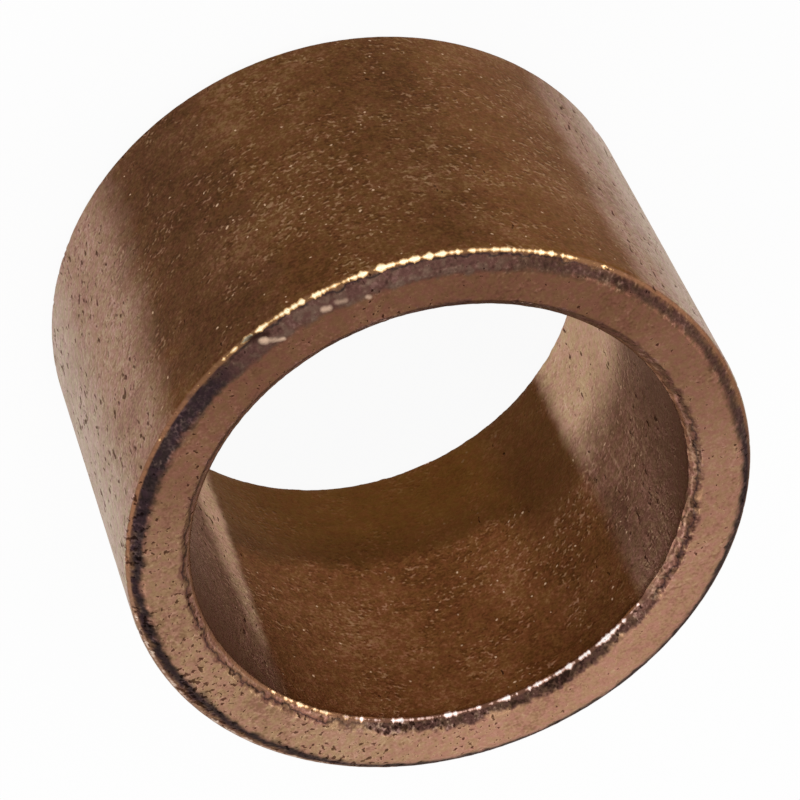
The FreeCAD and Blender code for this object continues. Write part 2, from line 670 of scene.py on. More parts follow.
class Zones:
    """Masks for the parts of the skin, from the undented place on it.

    A fade is how far from a border it begins and where it is complete. A bead's place is how
    far the middle of a rounding lies from its corner, outwards and down. A band is its two
    borders, each an angle and how far it fades, and a rim's slice is given as the pores' are.
    """

    END_FADE = (0.02, -0.05)
    WALL_FADE = (-0.03, 0.03)
    OUTER_FADE = (-0.06, 0.14)
    BORE_FADE = (0.05, -0.10)
    # The middles of the roundings, where the painted highlight beads lie
    SIDE_BEAD_PLACE = (-0.065, -0.045)
    BORE_BEAD_PLACE = (0.03, -0.04)
    CORNER_FADE = (0.085, 0.03)
    # The borders of the two pale strips of painted reflection
    LEFT_BAND = ((-53.5, 7.5), (12.0, 22.0))
    RIGHT_BAND = ((168.0, 22.0), (-146.5, 3.5))
    RIGHT_STRENGTH = 0.97
    SHRINK_HEIGHT = 3.5
    SHRINK = -0.013
    FAR_RIM = (108.0, 48.0, 72.0)
    INNER_RIMS = ((-95.0, 22.0, 45.0), (32.0, 12.0, 30.0))
    WIDE_RIM = (-78.0, 32.0, 62.0)
    FAINT_RIM = (-150.0, 25.0, 45.0)
    RIM_IN = 0.265
    RIM_SHIFT = -0.07
    RIM_HALF = 0.135
    RIM_MORE = 0.07
    FAR_HALF = 0.26
    RIM_SOFT = 0.11
    TORN_SHARE = 1.3
    FAINT_SHARE = 0.30

    def __init__(
        self, graph: Graph, place: Socket, section: Section, sway: Value = 0.0, ragged: Value = 0.0
    ) -> None:
        """Works the masks out.

        Args:
            graph: The tree that the masks' nodes go into.
            place: The undented place, in millimetres.
            section: The sleeve's half-section.
            sway: A length that bends the borders across the walls, in millimetres.
            ragged: A length that roughens the lines round the rims, in millimetres.
        """
        self.graph = graph
        self.place = place
        self.section = section
        split = graph.node("ShaderNodeSeparateXYZ", {0: place}).outputs
        flat = graph.node("ShaderNodeCombineXYZ", {0: split[0], 1: split[1], 2: 0.0}).outputs[0]
        self.way = graph.vector("NORMALIZE", flat).outputs[0]
        self.radius = graph.length(flat)
        self.ragged_radius = graph.plus(self.radius, ragged)
        self.height = graph.plus(split[2], sway)
        self.depth = graph.math("MINIMUM", split[2], graph.less(section.top, split[2]))
        drop = section.outer_chamfer_drop
        face_in = section.bore + section.bore_chamfer_width
        face_out = section.side - section.outer_chamfer_width
        self.end = self.fade(self.depth, drop, self.END_FADE)
        self.outer = self.fade(self.radius, (face_in + face_out) / 2, self.WALL_FADE)
        self.outer_chamfer = graph.times(self.end, self.fade(self.ragged_radius, face_out, self.OUTER_FADE))
        torn_radius = graph.plus(self.radius, graph.times(ragged, self.TORN_SHARE))
        self.bore_chamfer = graph.times(self.end, self.fade(torn_radius, face_in, self.BORE_FADE))
        self.side_away = self.away(section.side, drop, self.SIDE_BEAD_PLACE)
        self.bore_away = self.away(section.bore, section.bore_chamfer_drop, self.BORE_BEAD_PLACE)
        self.side_corner = graph.ease(self.side_away, *self.CORNER_FADE)
        self.bore_corner = graph.ease(self.bore_away, *self.CORNER_FADE)
        self.corners = graph.most(self.side_corner, self.bore_corner)

    def fade(self, value: Socket, middle: float, span: Span) -> Socket:
        """A soft step near a middle value, from one distance from it to another."""
        return self.graph.ease(value, middle + span[0], middle + span[1])

    def away(self, radius: float, depth: float, shift: Span) -> Socket:
        """How far each place is from one corner at its nearer end.

        Args:
            radius: The corner's radius.
            depth: How far it lies below the end face.
            shift: What is added to both, to reach the middle of the corner's rounding.

        Returns:
            The distance, in millimetres.
        """
        across = self.graph.less(self.radius, radius + shift[0])
        down = self.graph.less(self.depth, depth + shift[1])
        return self.graph.length(self.graph.node("ShaderNodeCombineXYZ", {0: across, 1: down}).outputs[0])

    def rim_line(self, bend: Value) -> Socket:
        """The dark band along the outer chamfer, a painted dark reflection, which lies further out on the far
        side.

        Args:
            bend: A small number that bends its ends.

        Returns:
            The mask.
        """
        graph = self.graph
        far = self.sector(*self.FAR_RIM, bend)
        inwards = graph.most(*(self.sector(*part, bend) for part in self.INNER_RIMS))
        middle = graph.plus(self.section.side - self.RIM_IN, graph.times(inwards, self.RIM_SHIFT))
        half = graph.plus(self.RIM_HALF, graph.times(self.sector(*self.WIDE_RIM, bend), self.RIM_MORE))
        middle = graph.blend(far, middle, self.section.side)
        line = self.ring(middle, graph.blend(far, half, self.FAR_HALF), self.RIM_SOFT)
        return graph.times(line, graph.without(graph.times(self.sector(*self.FAINT_RIM), self.FAINT_SHARE)))

    def ring(self, radius: Value, half: Value, soft: float) -> Socket:
        """A line round the end faces and their chamfers.

        Args:
            radius: The line's middle, in millimetres from the axis.
            half: Half its width.
            soft: How far its borders reach to either side.

        Returns:
            The mask.
        """
        away = self.graph.math("ABSOLUTE", self.graph.less(self.ragged_radius, radius))
        line = self.graph.ease(self.graph.less(away, half), soft, -soft)
        return self.graph.times(line, self.end)

    def facing(self, angle: float) -> Socket:
        """How far a place lies to one side of the axis, from -1 to 1.

        Args:
            angle: That side's angle about the axis, in degrees.

        Returns:
            The number.
        """
        return self.graph.dot(self.way, (math.cos(math.radians(angle)), math.sin(math.radians(angle)), 0.0))

    def sector(self, angle: float, full: float, gone: float, bend: Value = 0.0) -> Socket:
        """A mask over a slice of the ring.

        Args:
            angle: The slice's middle, in degrees about the axis.
            full: How far from it the mask is full, in degrees.
            gone: How far from it the mask ends, in degrees.
            bend: A small number added to the cosine, to bend the borders.

        Returns:
            The mask.
        """
        turn = self.graph.plus(self.facing(angle), bend)
        return self.graph.ease(turn, math.cos(math.radians(gone)), math.cos(math.radians(full)))

    def past(self, angle: float, soft: float, bend: Value = 0.0) -> Socket:
        """A mask for the half of the ring that begins at an angle and goes round to the left.

        Args:
            angle: The border, in degrees about the axis.
            soft: How far it fades to either side, in degrees.
            bend: A small number that bends it.

        Returns:
            The mask.
        """
        reach = math.sin(math.radians(soft))
        return self.graph.ease(self.graph.plus(self.facing(angle + QUARTER_TURN), bend), -reach, reach)

    def between(self, start: Span, end: Span, bend: Value = 0.0) -> Socket:
        """A mask between two angles.

        Args:
            start: The first border's angle and how far it fades, in degrees.
            end: The second border's angle and how far it fades.
            bend: A small number that bends both.

        Returns:
            The mask.
        """
        return self.graph.times(self.past(*start, bend), self.graph.without(self.past(*end, bend)))

    def pale_reflection_bands(self, bend: Value = 0.0) -> Socket:
        """The two pale strips of painted reflection down the outer wall.

        Args:
            bend: A small number that bends their borders.

        Returns:
            The mask.
        """
        graph = self.graph
        climb = graph.most(graph.less(self.height, self.SHRINK_HEIGHT), 0.0)
        left = self.between(*self.LEFT_BAND, graph.plus(bend, graph.times(climb, self.SHRINK)))
        right = self.between(*self.RIGHT_BAND, bend)
        return graph.most(left, graph.times(right, self.RIGHT_STRENGTH))


def place_object(name: str, data: bpy.types.ID) -> bpy.types.Object:
    """Puts a new object into the scene.

    Args:
        name: Its name.
        data: Its mesh, lamp or camera.

    Returns:
        The object, at the origin.
    """
    made = bpy.data.objects.new(name, data)
    bpy.context.scene.collection.objects.link(made)
    return made


def fresh_graph(owner: bpy.types.ID) -> Graph:
    """Starts the nodes of a material or world afresh.

    Args:
        owner: The material or world.

    Returns:
        Its empty tree.
    """
    owner.use_nodes = True
    owner.node_tree.nodes.clear()
    return Graph(owner.node_tree)


def add_sockets(tree: bpy.types.NodeTree, sockets: dict) -> None:
    """Gives a geometry tree its geometry sockets and named inputs.

    Args:
        tree: The tree.
        sockets: Input name to its socket type and default value.
    """
    tree.interface.new_socket(name="Geometry", in_out="INPUT", socket_type="NodeSocketGeometry")
    for name, (kind, default) in sockets.items():
        socket = tree.interface.new_socket(name=name, in_out="INPUT", socket_type=kind)
        if default is not None:
            socket.default_value = default
    tree.interface.new_socket(name="Geometry", in_out="OUTPUT", socket_type="NodeSocketGeometry")


def finish_tree(graph: Graph, geometry: Socket, finish: Socket) -> None:
    """Ends a geometry tree: real geometry, smooth, with its finish.

    Args:
        graph: The tree.
        geometry: What it has made.
        finish: The material input.
    """
    real = graph.node("GeometryNodeRealizeInstances", {0: geometry})
    smooth = graph.node("GeometryNodeSetShadeSmooth", {0: real.outputs[0]})
    dressed = graph.node("GeometryNodeSetMaterial", {0: smooth.outputs[0], "Material": finish})
    graph.node("NodeGroupOutput", {0: dressed.outputs[0]})


def run_tree(target: bpy.types.Object, tree: bpy.types.NodeTree, values: dict) -> None:
    """Adds a geometry tree to an object and sets its inputs.

    Args:
        target: The object.
        tree: The geometry tree.
        values: Input name to value.
    """
    modifier = target.modifiers.new(tree.name, "NODES")
    modifier.node_group = tree
    for item in tree.interface.items_tree:
        if item.in_out == "INPUT" and item.name in values:
            modifier[item.identifier] = values[item.name]


def settle(source: bpy.types.Object, name: str) -> bpy.types.Object:
    """Turns an object's evaluated shape into a plain mesh object and removes the object.

    Args:
        source: The object with its modifiers.
        name: The new object's name.

    Returns:
        The plain object, at the origin.
    """
    bpy.context.view_layer.update()
    evaluated = source.evaluated_get(bpy.context.evaluated_depsgraph_get())
    mesh = bpy.data.meshes.new_from_object(evaluated)
    mesh.name = name
    bpy.data.objects.remove(source)
    return place_object(name, mesh)


# The finish
class Mark(Enum):
    """What a scuff leaves behind. One kind is bare metal; the other is painted shade."""

    BARE = "bare metal"
    # Painted shade, in the nick's hollow
    PAINTED_SHADE = "dark oil"


@dataclass(frozen=True)
class Scuff:
    """A short scratch, rubbed spot, or patch of painted shade on the upper end."""

    start_angle: float
    start_radius: float
    end_angle: float
    end_radius: float
    width: float
    start_drop: float = 0.0
    end_drop: float = 0.0
    mark: Mark = Mark.BARE
    strength: float = 0.8
    raggedness: float = 2.2
    fade: float = 1.5

    def ends(self, section: Section) -> tuple[Vector, Vector]:
        """Its two ends, in millimetres.

        Args:
            section: The sleeve's half-section.

        Returns:
            The start and the end.
        """
        places = []
        for angle, radius, drop in (
            (self.start_angle, self.start_radius, self.start_drop),
            (self.end_angle, self.end_radius, self.end_drop),
        ):
            turn = math.radians(angle)
            places.append(Vector((radius * math.cos(turn), radius * math.sin(turn), section.top - drop)))
        return places[0], places[1]

    def mask(self, zones: Zones, ragged: Socket) -> Socket:
        """A soft line from end to end.

        Args:
            zones: The skin's zones.
            ragged: Noise that roughens it.

        Returns:
            The mask.
        """
        graph = zones.graph
        start, end = self.ends(zones.section)
        along = end - start
        local = graph.vector("SUBTRACT", zones.place, tuple(start)).outputs[0]
        share = graph.math("ADD", graph.dot(local, tuple(along / along.length_squared)), 0.0, clamp=True)
        away = graph.vector("DISTANCE", local, graph.scaled(tuple(along), share)).outputs["Value"]
        uneven = graph.plus(away, graph.swing(ragged, self.width * self.raggedness))
        return graph.times(graph.ease(uneven, self.width * self.fade, 0.0), self.strength)


@dataclass(frozen=True)
class Finish:
    """How one zone of the bronze looks, from its hollows to its tops."""

    deep: Triple
    main: Triple
    light: Triple
    roughness: float = 0.40
    contrast: float = 1.0
    tone_reach: float = 0.22
    rough_reach: float = 0.05
    rough_span: Span = (0.35, 0.65)

    def look(self, graph: Graph, tone: Socket) -> Look:
        """Its colour and roughness over the grain.

        Args:
            graph: The tree.
            tone: The height of the grain, around one half.

        Returns:
            The colour and the roughness.
        """
        reach = self.tone_reach / self.contrast
        low = graph.mix(graph.ease(tone, HALF - reach, HALF), self.deep, self.main)
        colour = graph.mix(graph.ease(tone, HALF, HALF + reach), low, self.light)
        dull, shiny = self.roughness + self.rough_reach, self.roughness - self.rough_reach
        return colour, graph.ease(tone, *self.rough_span, dull, shiny)


Layer = tuple[Finish, Socket]


@dataclass(frozen=True)
class BoreWear:
    """The finishes of the bore and where they lie. Its lower part is smoother and darker with painted shadow,
    and its pale patch is a painted reflection.

    A slice of the ring is its middle, how far from it it is full and how far from it it ends, in
    degrees, and a border is an angle and how far it fades. A span is where something begins and
    where it is complete, and a rise is a span of heights. Where one has four numbers, the last
    two are the strengths before and after it.
    """

    rough: Finish = Finish((0.112, 0.039, 0.011), (0.170, 0.064, 0.021), (0.258, 0.120, 0.056), 0.44, 0.8)
    # The smoother lower part, darker with painted shadow
    deep: Finish = Finish((0.080, 0.029, 0.005), (0.106, 0.041, 0.009), (0.134, 0.055, 0.016), 0.36, 0.6)
    dark: Finish = Finish((0.045, 0.015, 0.003), (0.070, 0.025, 0.007), (0.100, 0.040, 0.015), 0.40, 0.6)
    # Pale: a painted reflection in the patch, and the pale streak
    pale: Finish = Finish((0.370, 0.218, 0.142), (0.490, 0.312, 0.208), (0.550, 0.378, 0.272), 0.40, 0.7)
    dull: Finish = Finish((0.108, 0.048, 0.028), (0.170, 0.080, 0.049), (0.262, 0.138, 0.094), 0.46, 0.8)
    scratch: Finish = Finish((0.185, 0.090, 0.058), (0.280, 0.152, 0.104), (0.370, 0.220, 0.158), 0.42, 0.8)
    bend_share: float = 0.5
    lifted_slice: Triple = (135.0, 12.0, 38.0)
    lifted_height: float = 1.1
    deep_shadow_rise: Span = (4.1, 3.4)
    shadow_rises: tuple[Span, Span] = ((4.1, 3.5), (2.0, 3.4))
    shadow_strength: float = 0.45
    shade_borders: tuple[Span, Span] = ((106.0, 6.0), (127.0, 3.0))
    shade_rise: Steps = (6.0, 3.0, 0.3, 0.8)
    dull_start: Span = (128.0, 3.0)
    dull_end: Span = (31.0, 3.0)
    stroke_stretch: Triple = (1.0, 1.0, 0.05)
    stroke_noise: Triple = (12.0, 2.0, 0.5)
    stroke_span: Span = (0.52, 0.70)
    stroke_borders: tuple[Span, Span] = ((129.0, 3.0), (152.0, 8.0))
    stroke_rise: Span = (3.8, 5.0)
    stroke_strength: float = 0.6
    mouth_rise: Steps = (6.8, 9.6, 0.0, 0.65)
    patch_border: Span = (128.5, 3.0)
    patch_rise: Span = (5.4, 2.8)
    streak_start: Span = (25.0, 3.0)
    streak_end: Span = (31.3, 1.5)
    streak_lean: float = -0.012
    lean_height: float = 3.0
    streak_rises: tuple[Steps, Steps] = ((9.0, 7.6), (8.0, 3.0, 0.7, 0.95))

    def layers(self, zones: Zones, bend: Socket) -> list[Layer]:
        """The zones that lie over the rough upper part, in order.

        Args:
            zones: The skin's zones.
            bend: A small number that bends the borders.

        Returns:
            Each zone's finish and mask.
        """
        graph = zones.graph
        slight = graph.times(bend, self.bend_share)
        lifted = graph.times(zones.sector(*self.lifted_slice, bend), self.lifted_height)
        level = graph.less(zones.height, lifted)
        # The lower part, darker with painted shadow
        low = graph.ease(level, *self.deep_shadow_rise)
        shadow = graph.times(*(graph.ease(level, *rise) for rise in self.shadow_rises), self.shadow_strength)
        shade = graph.times(zones.between(*self.shade_borders, slight), graph.ease(level, *self.shade_rise))
        short_of_end = graph.without(zones.past(*self.dull_end, slight))
        dull = graph.most(zones.past(*self.dull_start, slight), short_of_end)
        mouth = graph.times(dull, graph.ease(zones.height, *self.mouth_rise))
        # The pale patch low on the dull side: a painted reflection
        patch = zones.past(*self.patch_border, slight)
        patch = graph.times(patch, graph.ease(zones.height, *self.patch_rise))
        return [
            (self.deep, low),
            (self.dark, graph.most(shade, shadow)),
            (self.dull, dull),
            (self.scratch, graph.most(self.strokes(zones), mouth)),
            (self.pale, graph.most(patch, self.streak(zones, slight))),
        ]

    def strokes(self, zones: Zones) -> Socket:
        """The fine upright scratches in the dull part.

        Args:
            zones: The skin's zones.

        Returns:
            The mask.
        """
        graph = zones.graph
        strokes = graph.noise(graph.product(zones.place, self.stroke_stretch), *self.stroke_noise)
        strokes = graph.ease(strokes, *self.stroke_span)
        strokes = graph.times(strokes, zones.between(*self.stroke_borders), self.stroke_strength)
        return graph.times(strokes, graph.ease(zones.height, *self.stroke_rise))

    def streak(self, zones: Zones, slight: Socket) -> Socket:
        """The pale streak up the other side, which leans over as it climbs.

        Args:
            zones: The skin's zones.
            slight: A small number that bends the borders.

        Returns:
            The mask.
        """
        graph = zones.graph
        lean = graph.plus(slight, graph.times(graph.less(zones.height, self.lean_height), self.streak_lean))
        start = zones.past(*self.streak_start, lean)
        streak = graph.times(start, graph.without(zones.past(*self.streak_end, slight)))
        return graph.times(streak, *(graph.ease(zones.height, *rise) for rise in self.streak_rises))


@dataclass(frozen=True)
class SideWear:
    """The finishes of the outer wall and where they lie, given as the bore's are. Its darker middle, its two
    pale strips and its paler sides are painted reflection.
    """

    plain: Finish = Finish((0.082, 0.031, 0.010), (0.128, 0.052, 0.018), (0.200, 0.101, 0.046), 0.44, 0.9)
    warm: Finish = Finish((0.125, 0.049, 0.016), (0.178, 0.072, 0.024), (0.255, 0.125, 0.055), 0.44, 0.8)
    # A darker middle: painted dark reflection
    dark: Finish = Finish((0.066, 0.026, 0.010), (0.105, 0.043, 0.018), (0.165, 0.078, 0.038), 0.44, 0.9)
    # The two pale strips: painted reflection
    band: Finish = Finish((0.235, 0.134, 0.096), (0.350, 0.212, 0.154), (0.430, 0.290, 0.225), 0.40, 1.0)
    # Paler towards the sides: painted reflection
    pale: Finish = Finish((0.365, 0.275, 0.222), (0.500, 0.398, 0.332), (0.580, 0.485, 0.420), 0.40, 0.9)
    warm_slice: Triple = (-142.0, 4.0, 30.0)
    dark_slice: Triple = (-67.0, 3.0, 18.0)
    pale_slices: tuple[Triple, Triple] = ((-5.0, 9.0, 36.0), (-176.0, 8.0, 26.0))

    def layers(self, zones: Zones, bend: Socket) -> list[Layer]:
        """The zones of the outer wall, in order.

        Args:
            zones: The skin's zones.
            bend: A small number that bends the borders.

        Returns:
            Each zone's finish and mask.
        """
        graph = zones.graph
        masks = (
            (self.plain, 1.0),
            (self.warm, zones.sector(*self.warm_slice, bend)),
            (self.dark, zones.sector(*self.dark_slice, bend)),
            (self.band, zones.pale_reflection_bands(bend)),
            (self.pale, graph.most(*(zones.sector(*part, bend) for part in self.pale_slices))),
        )
        return [(finish, graph.times(zones.outer, mask)) for finish, mask in masks]


@dataclass(frozen=True)
class EndWear:
    """The finishes of the end faces and their chamfers, and where they lie, given as the bore's are. The
    faces carry painted light, lighter towards one side, and the outer chamfer a painted dark reflection.

    A fine line is its distance from the wall's radius, half its width and how far its borders fade.
    """

    brown: Finish = Finish((0.120, 0.052, 0.030), (0.165, 0.075, 0.044), (0.225, 0.110, 0.068), 0.46, 0.6)
    face: Finish = Finish((0.300, 0.155, 0.098), (0.420, 0.228, 0.152), (0.490, 0.290, 0.200), 0.46, 0.75)
    olive: Finish = Finish((0.225, 0.128, 0.076), (0.335, 0.205, 0.126), (0.420, 0.272, 0.172), 0.46, 0.8)
    rim: Finish = Finish((0.100, 0.042, 0.022), (0.175, 0.080, 0.044), (0.280, 0.150, 0.095), 0.50, 0.9)
    # Near black: the painted dark reflection along the outer chamfer, a painted shade line under the corner
    # highlight, and the dark groove beside the bore, dark with lubricant and painted shade
    painted_shade_and_oil: Finish = Finish((0.013, 0.009, 0.010), (0.031, 0.019, 0.021), (0.085, 0.053, 0.052), 0.60, 0.6)
    grey: Finish = Finish((0.060, 0.029, 0.023), (0.115, 0.059, 0.047), (0.185, 0.108, 0.088), 0.55, 0.6)
    violet: Finish = Finish((0.100, 0.054, 0.047), (0.155, 0.090, 0.078), (0.225, 0.143, 0.124), 0.50, 0.6)
    # The torn bore edge; its lightest tops are painted pinkish glints
    torn: Finish = Finish((0.030, 0.015, 0.011), (0.100, 0.052, 0.039), (0.350, 0.225, 0.180), 0.60, 0.8)
    crumbs: Finish = Finish((0.060, 0.028, 0.018), (0.165, 0.080, 0.053), (0.300, 0.168, 0.120), 0.60, 0.8)
    lip: Finish = Finish((0.120, 0.055, 0.034), (0.210, 0.105, 0.067), (0.290, 0.160, 0.112), 0.50, 0.6)
    ridge: Finish = Finish((0.220, 0.120, 0.085), (0.350, 0.195, 0.145), (0.480, 0.300, 0.230), 0.50, 0.7)
    # The ends are painted lighter towards this side and darker away from it: painted light and shade
    painted_light_side: float = 78.0
    painted_light_span: Span = (-1.05, 1.05)
    olive_slice: Triple = (18.0, 24.0, 62.0)
    olive_strength: float = 0.55
    rim_strength: float = 0.8
    # Where the painted dark reflection on the outer chamfer turns lighter, grey and violet
    lit_band_slice: Triple = (-95.0, 16.0, 34.0)
    lit_band_share: float = 0.35
    grey_strength: float = 0.8
    violet_span: Span = (0.44, 0.66)
    violet_strength: float = 0.7
    under_line: Triple = (-0.14, 0.03, 0.03)
    under_slice: Triple = (-100.0, 26.0, 42.0)
    under_strength: float = 0.85
    crumb_slice: Triple = (175.0, 38.0, 58.0)
    lip_slice: Triple = (-15.0, 56.0, 72.0)
    lined_slice: Triple = (156.0, 20.0, 36.0)
    groove_line: Triple = (0.20, 0.02, 0.03)
    groove_strength: float = 0.85
    ridge_line: Triple = (0.10, 0.02, 0.03)
    ridge_strength: float = 0.80

    def layers(self, zones: Zones, bend: Socket, ragged: Socket) -> list[Layer]:
        """The zones of the ends, in order.

        Args:
            zones: The skin's zones.
            bend: A small number that bends the borders.
            ragged: Noise that breaks the dark rim into patches.

        Returns:
            Each zone's finish and mask.
        """
        graph = zones.graph
        side, bore = zones.section.side, zones.section.bore
        # Painted light on the faces, lighter towards one side
        painted_light = graph.ease(zones.facing(self.painted_light_side), *self.painted_light_span)
        # The slice where the painted dark reflection turns lighter
        worn = zones.sector(*self.lit_band_slice, bend)
        line = zones.rim_line(bend)
        patches = graph.ease(ragged, *self.violet_span)
        under = graph.times(self.fine_line(zones, side, self.under_line), zones.sector(*self.under_slice))
        near = graph.without(zones.sector(*zones.FAR_RIM, bend))
        lip = zones.sector(*self.lip_slice, bend)
        lined = graph.most(lip, zones.sector(*self.lined_slice, bend))
        groove = graph.times(self.fine_line(zones, bore, self.groove_line), lined)
        ridge = graph.times(self.fine_line(zones, bore, self.ridge_line), lined)
        crumbs = zones.sector(*self.crumb_slice, bend)
        return [
            (self.brown, zones.end),
            (self.face, graph.times(zones.end, painted_light)),
            (self.olive, graph.times(zones.end, zones.sector(*self.olive_slice, bend), self.olive_strength)),
            (self.rim, graph.times(zones.outer_chamfer, near, self.rim_strength)),
            # The painted dark reflection along the outer chamfer, lighter in one slice
            (self.painted_shade_and_oil, graph.times(line, graph.without(graph.times(worn, self.lit_band_share)))),
            (self.grey, graph.times(line, worn, self.grey_strength)),
            (self.violet, graph.times(line, worn, patches, self.violet_strength)),
            (self.painted_shade_and_oil, graph.times(under, self.under_strength)),
            (self.torn, zones.bore_chamfer),
            (self.crumbs, graph.times(zones.bore_chamfer, crumbs)),
            (self.lip, graph.times(zones.bore_chamfer, lip)),
            (self.painted_shade_and_oil, graph.times(groove, self.groove_strength)),
            (self.ridge, graph.times(ridge, self.ridge_strength)),
        ]

    def fine_line(self, zones: Zones, radius: float, line: Triple) -> Socket:
        """A fine line round the ends, at a distance from a wall's radius."""
        return zones.ring(radius + line[0], *line[1:])


@dataclass(frozen=True)
class HighlightBeads:
    """A corner painted with a row of light beads: a painted highlight where its rounding faces the light.

    The line along it, and the edge and middle of a bead, are colours. Its part is a slice of the ring.
    """

    line: Triple
    edge: Triple
    bead: Triple
    part: Triple
    strength: float = 1.0
    lift: float = 0.0
    reach: float = 0.12
    gain: float = 2.6
    bead_span: Span = (0.46, 0.66)
    painted_light_span: Span = (0.68, 0.94)

    def level(self, graph: Graph, noise: Socket, part: Socket, away: Socket) -> Socket:
        """How far each place is inside a bead.

        Args:
            graph: The tree.
            noise: Noise that breaks the corner into beads.
            part: The mask of the part of the ring that carries the painted highlight.
            away: The distance from the corner, in millimetres.

        Returns:
            A number that is past the beads' span inside one.
        """
        level = graph.plus(graph.swing(noise, self.gain), part, self.lift)
        return graph.less(level, graph.times(away, 1 / self.reach))


@dataclass(frozen=True)
class CornerWearAndHighlights:
    """The corners: a worn edge colour, and rows of painted highlight beads where they face the light."""

    # Rows of painted highlight beads along the corners
    gold: HighlightBeads = HighlightBeads((0.19, 0.095, 0.042), (0.62, 0.37, 0.16), (1.0, 0.88, 0.6), (-100.0, 22.0, 48.0))
    rose: HighlightBeads = HighlightBeads(
        (0.15, 0.07, 0.045), (0.56, 0.34, 0.27), (1.0, 0.92, 0.88), (88.0, 28.0, 50.0), 0.9, -0.13
    )
    amber: HighlightBeads = HighlightBeads(
        (0.19, 0.09, 0.042), (0.56, 0.31, 0.15), (0.98, 0.76, 0.48), (46.0, 9.0, 26.0), 0.85, -0.2
    )
    cream: HighlightBeads = HighlightBeads(
        (0.28, 0.165, 0.11), (0.42, 0.28, 0.21), (0.64, 0.5, 0.4), (20.0, 16.0, 44.0), 0.8, -0.15
    )
    worn_edge: Triple = (0.200, 0.092, 0.048)
    wear_steps: Steps = (0.25, 0.60, 0.4, 0.9)
    bead_noise: Triple = (4.2, 2.0, 0.5)
    bead_lift: float = 0.15
    edge_roughness: float = 0.50
    bead_roughness: float = 0.42

    def noise(self, zones: Zones) -> Socket:
        """Noise that breaks the corners into beads, and hardly changes across a wall.

        Args:
            zones: The skin's zones.

        Returns:
            A number around one half.
        """
        graph = zones.graph
        around = graph.scaled(zones.way, zones.section.side)
        return graph.noise(graph.shifted(around, graph.scaled(zones.place, self.bead_lift)), *self.bead_noise)

    def dress(self, zones: Zones, noise: Socket, look: Look) -> Look:
        """Lays the worn corners and their painted highlight beads over a look.

        Args:
            zones: The skin's zones.
            noise: Noise that breaks the corners into beads.
            look: The colour and roughness so far.

        Returns:
            The colour and the roughness with the corners.
        """
        graph = zones.graph
        near = graph.without(zones.sector(*zones.FAR_RIM))
        wear = graph.times(zones.corners, graph.ease(noise, *self.wear_steps))
        colour = graph.mix(graph.times(wear, near), look[0], self.worn_edge)
        rough = graph.blend(wear, look[1], self.edge_roughness)
        side, bore = zones.side_away, zones.bore_away
        for beads, away in ((self.gold, side), (self.cream, side), (self.amber, bore), (self.rose, bore)):
            part = zones.sector(*beads.part)
            line = graph.ease(away, *zones.CORNER_FADE)
            colour = graph.mix(graph.times(line, part, beads.strength), colour, beads.line)
            level = beads.level(graph, noise, part, away)
            mask = graph.times(graph.ease(level, *beads.bead_span), beads.strength)
            painted_light = graph.mix(graph.ease(level, *beads.painted_light_span), beads.edge, beads.bead)
            colour, rough = graph.cover(mask, (colour, rough), painted_light, self.bead_roughness)
        return colour, rough


@dataclass(frozen=True)
class PaintedGlints:
    """Painted glints: spots of light colour, and a painted highlight on the sides of the larger lumps that
    face the light.
    """

    # The colour of the painted glints
    colour: Triple = (0.640, 0.430, 0.280)
    roughness: float = 0.35
    lit_span: Span = (0.22, 0.72)
    lit_strength: float = 0.16
    sway_noise: Triple = (3.5, 1.0, 0.5)
    sway: float = 0.25
    cells: float = 4.5
    chosen_span: Span = (0.84, 0.86)
    size_gain: float = 0.6
    spot_span: Span = (0.15, 0.01)
    spot_strength: float = 0.9
    smooth_rise: Span = (4.4, 3.8)
    smooth_share: float = 0.9
    most_quiet: float = 0.92

    def spots(self, zones: Zones) -> Socket:
        """Painted glints: single light spots, scattered over the whole skin.

        Args:
            zones: The skin's zones.

        Returns:
            The mask.
        """
        graph = zones.graph
        sway = graph.swing(graph.noise(zones.place, *self.sway_noise), self.sway)
        cell = graph.cells(graph.shifted(zones.place, sway), self.cells)
        random = graph.node("ShaderNodeSeparateColor", {0: cell.outputs["Color"]}).outputs[0]
        chosen = graph.ease(random, *self.chosen_span)
        size = graph.times(graph.less(random, self.chosen_span[0]), self.size_gain)
        spot = graph.ease(graph.less(cell.outputs["Distance"], graph.most(size, 0.0)), *self.spot_span)
        return graph.times(spot, chosen, self.spot_strength)

    def dress(self, zones: Zones, painted_relief: Socket, look: Look) -> Look:
        """Lays the painted glints over a look.

        Args:
            zones: The skin's zones.
            painted_relief: The painted light and shade on the sides of the larger lumps.
            look: The colour and roughness so far.

        Returns:
            The colour and the roughness with the painted glints.
        """
        graph = zones.graph
        # Painted highlight on the lumps' lit sides, and painted glints
        bare = graph.times(graph.ease(painted_relief, *self.lit_span), self.lit_strength)
        bare = graph.most(bare, self.spots(zones))
        quiet = graph.most(zones.end, zones.pale_reflection_bands())
        low = graph.ease(zones.height, *self.smooth_rise)
        smooth = graph.times(graph.without(zones.outer), low, self.smooth_share)
        quiet = graph.math("MINIMUM", graph.plus(quiet, smooth), self.most_quiet)
        bare = graph.times(bare, graph.without(quiet))
        return graph.cover(bare, look, self.colour, self.roughness)


